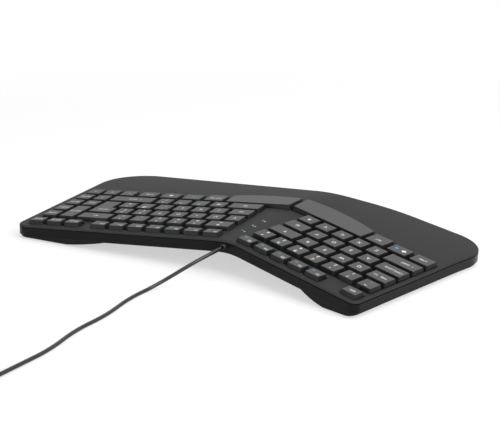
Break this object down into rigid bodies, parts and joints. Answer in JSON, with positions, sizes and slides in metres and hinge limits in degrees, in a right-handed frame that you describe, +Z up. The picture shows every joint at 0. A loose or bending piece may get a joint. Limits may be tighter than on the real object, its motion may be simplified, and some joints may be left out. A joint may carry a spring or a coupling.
{
  "type": "ergonomic keyboard",
  "caption": "Split, tented ergonomic keyboard with a bent matte deck, palm rest, glossy side band, travelling keycaps over rubber domes and a wired plug lead.",
  "frame": {"origin": "on the desk under the middle of the keyboard's bounding box, cord left out", "axes": "+X to the user's right along the keyboard's long side, +Y away from the user toward the cable, +Z up"},
  "size_m": [0.402, 0.519, 0.0374],
  "materials": {
    "cover_plastic": "fine matte texture",
    "band_plastic": "polished black",
    "base_plastic": "fine matte texture",
    "plate_steel": "zinc plated sheet",
    "circuit_film": "clear film with printed tracks",
    "dome_rubber": "milky silicone",
    "board_laminate": "green solder mask",
    "chip_plastic": "moulded",
    "socket_plastic": "moulded",
    "lamp_resin": "clear resin",
    "lens_plastic": "smoked, translucent",
    "screw_steel": "black zinc",
    "foot_rubber": "matte",
    "boot_rubber": "satin",
    "cable_jacket": "satin soft vinyl",
    "tie_fabric": "woven hook and loop band",
    "plug_plastic": "satin",
    "plug_metal": "nickel plated",
    "tongue_plastic": "moulded",
    "key_plastic": "fine matte top, dark sides"
  },
  "bodies": {
    "chassis": {"top_cover": "cover_plastic", "side_band": "band_plastic", "bottom_cover": "base_plastic", "support_plate_left": "plate_steel", "support_plate_right": "plate_steel", "membrane_left": "circuit_film", "membrane_right": "circuit_film", "dome_sheet_left": "dome_rubber", "dome_sheet_right": "dome_rubber", "controller_board": "board_laminate", "controller_chip": "chip_plastic", "cable_socket": "socket_plastic", "status_lamps": "lamp_resin", "status_lenses": "lens_plastic", "case_screws": "screw_steel", "rubber_feet": "foot_rubber", "strain_relief": "boot_rubber", "cable": "cable_jacket", "cable_coil": "cable_jacket", "cable_tie": "tie_fabric", "plug_body": "plug_plastic", "plug_shell": "plug_metal", "plug_tongue": "tongue_plastic"},
    "escape_key_slider": {"escape_key": "key_plastic"},
    "f1_to_f5_keys_slider": {"f1_to_f5_keys": "key_plastic"},
    "left_number_keys_slider": {"left_number_keys": "key_plastic"},
    "tab_key_slider": {"tab_key": "key_plastic"},
    "left_upper_letter_keys_slider": {"left_upper_letter_keys": "key_plastic"},
    "caps_lock_key_slider": {"caps_lock_key": "key_plastic"},
    "left_home_letter_keys_slider": {"left_home_letter_keys": "key_plastic"},
    "left_shift_key_slider": {"left_shift_key": "key_plastic"},
    "left_lower_letter_keys_slider": {"left_lower_letter_keys": "key_plastic"},
    "left_ctrl_key_slider": {"left_ctrl_key": "key_plastic"},
    "left_command_key_slider": {"left_command_key": "key_plastic"},
    "left_alt_key_slider": {"left_alt_key": "key_plastic"},
    "left_space_bar_slider": {"left_space_bar": "key_plastic"},
    "f6_to_f12_keys_slider": {"f6_to_f12_keys": "key_plastic"},
    "print_scroll_pause_keys_slider": {"print_scroll_pause_keys": "key_plastic"},
    "right_number_keys_slider": {"right_number_keys": "key_plastic"},
    "backspace_key_slider": {"backspace_key": "key_plastic"},
    "delete_key_slider": {"delete_key": "key_plastic"},
    "home_key_slider": {"home_key": "key_plastic"},
    "right_upper_letter_keys_slider": {"right_upper_letter_keys": "key_plastic"},
    "insert_key_slider": {"insert_key": "key_plastic"},
    "enter_key_slider": {"enter_key": "key_plastic"},
    "right_home_letter_keys_slider": {"right_home_letter_keys": "key_plastic"},
    "page_up_key_slider": {"page_up_key": "key_plastic"},
    "end_key_slider": {"end_key": "key_plastic"},
    "right_lower_letter_keys_slider": {"right_lower_letter_keys": "key_plastic"},
    "right_shift_key_slider": {"right_shift_key": "key_plastic"},
    "page_down_key_slider": {"page_down_key": "key_plastic"},
    "arrow_up_key_slider": {"arrow_up_key": "key_plastic"},
    "right_space_bar_slider": {"right_space_bar": "key_plastic"},
    "alt_gr_key_slider": {"alt_gr_key": "key_plastic"},
    "fn_key_slider": {"fn_key": "key_plastic"},
    "menu_key_slider": {"menu_key": "key_plastic"},
    "right_ctrl_key_slider": {"right_ctrl_key": "key_plastic"},
    "arrow_left_key_slider": {"arrow_left_key": "key_plastic"},
    "arrow_down_key_slider": {"arrow_down_key": "key_plastic"},
    "arrow_right_key_slider": {"arrow_right_key": "key_plastic"}
  },
  "joints": [
    {"name": "escape_key_travel", "type": "slide", "parent": "chassis", "child": "escape_key_slider", "axis": [-0.1242, 0.0149, 0.9921], "range_m": [-0.0025, 0], "stiffness_N_per_m": 220, "springref_m": 0.001, "deforming": ["dome_sheet_left"]},
    {"name": "f1_to_f5_keys_travel", "type": "slide", "parent": "chassis", "child": "f1_to_f5_keys_slider", "axis": [-0.1242, 0.0149, 0.9921], "range_m": [-0.0025, 0], "stiffness_N_per_m": 220, "springref_m": 0.001, "deforming": ["dome_sheet_left"]},
    {"name": "left_number_keys_travel", "type": "slide", "parent": "chassis", "child": "left_number_keys_slider", "axis": [-0.1242, 0.0149, 0.9921], "range_m": [-0.0025, 0], "stiffness_N_per_m": 220, "springref_m": 0.001, "deforming": ["dome_sheet_left"]},
    {"name": "tab_key_travel", "type": "slide", "parent": "chassis", "child": "tab_key_slider", "axis": [-0.1242, 0.0149, 0.9921], "range_m": [-0.0025, 0], "stiffness_N_per_m": 220, "springref_m": 0.001, "deforming": ["dome_sheet_left"]},
    {"name": "left_upper_letter_keys_travel", "type": "slide", "parent": "chassis", "child": "left_upper_letter_keys_slider", "axis": [-0.1242, 0.0149, 0.9921], "range_m": [-0.0025, 0], "stiffness_N_per_m": 220, "springref_m": 0.001, "deforming": ["dome_sheet_left"]},
    {"name": "caps_lock_key_travel", "type": "slide", "parent": "chassis", "child": "caps_lock_key_slider", "axis": [-0.1242, 0.0149, 0.9921], "range_m": [-0.0025, 0], "stiffness_N_per_m": 220, "springref_m": 0.001, "deforming": ["dome_sheet_left"]},
    {"name": "left_home_letter_keys_travel", "type": "slide", "parent": "chassis", "child": "left_home_letter_keys_slider", "axis": [-0.1242, 0.0149, 0.9921], "range_m": [-0.0025, 0], "stiffness_N_per_m": 220, "springref_m": 0.001, "deforming": ["dome_sheet_left"]},
    {"name": "left_shift_key_travel", "type": "slide", "parent": "chassis", "child": "left_shift_key_slider", "axis": [-0.1242, 0.0149, 0.9921], "range_m": [-0.0025, 0], "stiffness_N_per_m": 240, "springref_m": 0.001, "deforming": ["dome_sheet_left"]},
    {"name": "left_lower_letter_keys_travel", "type": "slide", "parent": "chassis", "child": "left_lower_letter_keys_slider", "axis": [-0.1242, 0.0149, 0.9921], "range_m": [-0.0025, 0], "stiffness_N_per_m": 220, "springref_m": 0.001, "deforming": ["dome_sheet_left"]},
    {"name": "left_ctrl_key_travel", "type": "slide", "parent": "chassis", "child": "left_ctrl_key_slider", "axis": [-0.1242, 0.0149, 0.9921], "range_m": [-0.0025, 0], "stiffness_N_per_m": 220, "springref_m": 0.001, "deforming": ["dome_sheet_left"]},
    {"name": "left_command_key_travel", "type": "slide", "parent": "chassis", "child": "left_command_key_slider", "axis": [-0.1242, 0.0149, 0.9921], "range_m": [-0.0025, 0], "stiffness_N_per_m": 220, "springref_m": 0.001, "deforming": ["dome_sheet_left"]},
    {"name": "left_alt_key_travel", "type": "slide", "parent": "chassis", "child": "left_alt_key_slider", "axis": [-0.1242, 0.0149, 0.9921], "range_m": [-0.0025, 0], "stiffness_N_per_m": 220, "springref_m": 0.001, "deforming": ["dome_sheet_left"]},
    {"name": "left_space_bar_travel", "type": "slide", "parent": "chassis", "child": "left_space_bar_slider", "axis": [-0.1242, 0.0149, 0.9921], "range_m": [-0.0025, 0], "stiffness_N_per_m": 240, "springref_m": 0.001, "deforming": ["dome_sheet_left"]},
    {"name": "f6_to_f12_keys_travel", "type": "slide", "parent": "chassis", "child": "f6_to_f12_keys_slider", "axis": [0.0903, 0.0149, 0.9958], "range_m": [-0.0025, 0], "stiffness_N_per_m": 220, "springref_m": 0.001, "deforming": ["dome_sheet_right"]},
    {"name": "print_scroll_pause_keys_travel", "type": "slide", "parent": "chassis", "child": "print_scroll_pause_keys_slider", "axis": [0.0903, 0.0149, 0.9958], "range_m": [-0.0025, 0], "stiffness_N_per_m": 220, "springref_m": 0.001, "deforming": ["dome_sheet_right"]},
    {"name": "right_number_keys_travel", "type": "slide", "parent": "chassis", "child": "right_number_keys_slider", "axis": [0.0903, 0.0149, 0.9958], "range_m": [-0.0025, 0], "stiffness_N_per_m": 220, "springref_m": 0.001, "deforming": ["dome_sheet_right"]},
    {"name": "backspace_key_travel", "type": "slide", "parent": "chassis", "child": "backspace_key_slider", "axis": [0.0903, 0.0149, 0.9958], "range_m": [-0.0025, 0], "stiffness_N_per_m": 240, "springref_m": 0.001, "deforming": ["dome_sheet_right"]},
    {"name": "delete_key_travel", "type": "slide", "parent": "chassis", "child": "delete_key_slider", "axis": [0.0903, 0.0149, 0.9958], "range_m": [-0.0025, 0], "stiffness_N_per_m": 220, "springref_m": 0.001, "deforming": ["dome_sheet_right"]},
    {"name": "home_key_travel", "type": "slide", "parent": "chassis", "child": "home_key_slider", "axis": [0.0903, 0.0149, 0.9958], "range_m": [-0.0025, 0], "stiffness_N_per_m": 220, "springref_m": 0.001, "deforming": ["dome_sheet_right"]},
    {"name": "right_upper_letter_keys_travel", "type": "slide", "parent": "chassis", "child": "right_upper_letter_keys_slider", "axis": [0.0903, 0.0149, 0.9958], "range_m": [-0.0025, 0], "stiffness_N_per_m": 220, "springref_m": 0.001, "deforming": ["dome_sheet_right"]},
    {"name": "insert_key_travel", "type": "slide", "parent": "chassis", "child": "insert_key_slider", "axis": [0.0903, 0.0149, 0.9958], "range_m": [-0.0025, 0], "stiffness_N_per_m": 220, "springref_m": 0.001, "deforming": ["dome_sheet_right"]},
    {"name": "enter_key_travel", "type": "slide", "parent": "chassis", "child": "enter_key_slider", "axis": [0.0903, 0.0149, 0.9958], "range_m": [-0.0025, 0], "stiffness_N_per_m": 240, "springref_m": 0.001, "deforming": ["dome_sheet_right"]},
    {"name": "right_home_letter_keys_travel", "type": "slide", "parent": "chassis", "child": "right_home_letter_keys_slider", "axis": [0.0903, 0.0149, 0.9958], "range_m": [-0.0025, 0], "stiffness_N_per_m": 220, "springref_m": 0.001, "deforming": ["dome_sheet_right"]},
    {"name": "page_up_key_travel", "type": "slide", "parent": "chassis", "child": "page_up_key_slider", "axis": [0.0903, 0.0149, 0.9958], "range_m": [-0.0025, 0], "stiffness_N_per_m": 220, "springref_m": 0.001, "deforming": ["dome_sheet_right"]},
    {"name": "end_key_travel", "type": "slide", "parent": "chassis", "child": "end_key_slider", "axis": [0.0903, 0.0149, 0.9958], "range_m": [-0.0025, 0], "stiffness_N_per_m": 220, "springref_m": 0.001, "deforming": ["dome_sheet_right"]},
    {"name": "right_lower_letter_keys_travel", "type": "slide", "parent": "chassis", "child": "right_lower_letter_keys_slider", "axis": [0.0903, 0.0149, 0.9958], "range_m": [-0.0025, 0], "stiffness_N_per_m": 220, "springref_m": 0.001, "deforming": ["dome_sheet_right"]},
    {"name": "right_shift_key_travel", "type": "slide", "parent": "chassis", "child": "right_shift_key_slider", "axis": [0.0903, 0.0149, 0.9958], "range_m": [-0.0025, 0], "stiffness_N_per_m": 240, "springref_m": 0.001, "deforming": ["dome_sheet_right"]},
    {"name": "page_down_key_travel", "type": "slide", "parent": "chassis", "child": "page_down_key_slider", "axis": [0.0903, 0.0149, 0.9958], "range_m": [-0.0025, 0], "stiffness_N_per_m": 220, "springref_m": 0.001, "deforming": ["dome_sheet_right"]},
    {"name": "arrow_up_key_travel", "type": "slide", "parent": "chassis", "child": "arrow_up_key_slider", "axis": [0.0903, 0.0149, 0.9958], "range_m": [-0.0025, 0], "stiffness_N_per_m": 220, "springref_m": 0.001, "deforming": ["dome_sheet_right"]},
    {"name": "right_space_bar_travel", "type": "slide", "parent": "chassis", "child": "right_space_bar_slider", "axis": [0.0903, 0.0149, 0.9958], "range_m": [-0.0025, 0], "stiffness_N_per_m": 240, "springref_m": 0.001, "deforming": ["dome_sheet_right"]},
    {"name": "alt_gr_key_travel", "type": "slide", "parent": "chassis", "child": "alt_gr_key_slider", "axis": [0.0903, 0.0149, 0.9958], "range_m": [-0.0025, 0], "stiffness_N_per_m": 220, "springref_m": 0.001, "deforming": ["dome_sheet_right"]},
    {"name": "fn_key_travel", "type": "slide", "parent": "chassis", "child": "fn_key_slider", "axis": [0.0903, 0.0149, 0.9958], "range_m": [-0.0025, 0], "stiffness_N_per_m": 220, "springref_m": 0.001, "deforming": ["dome_sheet_right"]},
    {"name": "menu_key_travel", "type": "slide", "parent": "chassis", "child": "menu_key_slider", "axis": [0.0903, 0.0149, 0.9958], "range_m": [-0.0025, 0], "stiffness_N_per_m": 220, "springref_m": 0.001, "deforming": ["dome_sheet_right"]},
    {"name": "right_ctrl_key_travel", "type": "slide", "parent": "chassis", "child": "right_ctrl_key_slider", "axis": [0.0903, 0.0149, 0.9958], "range_m": [-0.0025, 0], "stiffness_N_per_m": 220, "springref_m": 0.001, "deforming": ["dome_sheet_right"]},
    {"name": "arrow_left_key_travel", "type": "slide", "parent": "chassis", "child": "arrow_left_key_slider", "axis": [0.0903, 0.0149, 0.9958], "range_m": [-0.0025, 0], "stiffness_N_per_m": 220, "springref_m": 0.001, "deforming": ["dome_sheet_right"]},
    {"name": "arrow_down_key_travel", "type": "slide", "parent": "chassis", "child": "arrow_down_key_slider", "axis": [0.0903, 0.0149, 0.9958], "range_m": [-0.0025, 0], "stiffness_N_per_m": 220, "springref_m": 0.001, "deforming": ["dome_sheet_right"]},
    {"name": "arrow_right_key_travel", "type": "slide", "parent": "chassis", "child": "arrow_right_key_slider", "axis": [0.0903, 0.0149, 0.9958], "range_m": [-0.0025, 0], "stiffness_N_per_m": 220, "springref_m": 0.001, "deforming": ["dome_sheet_right"]}
  ]
}
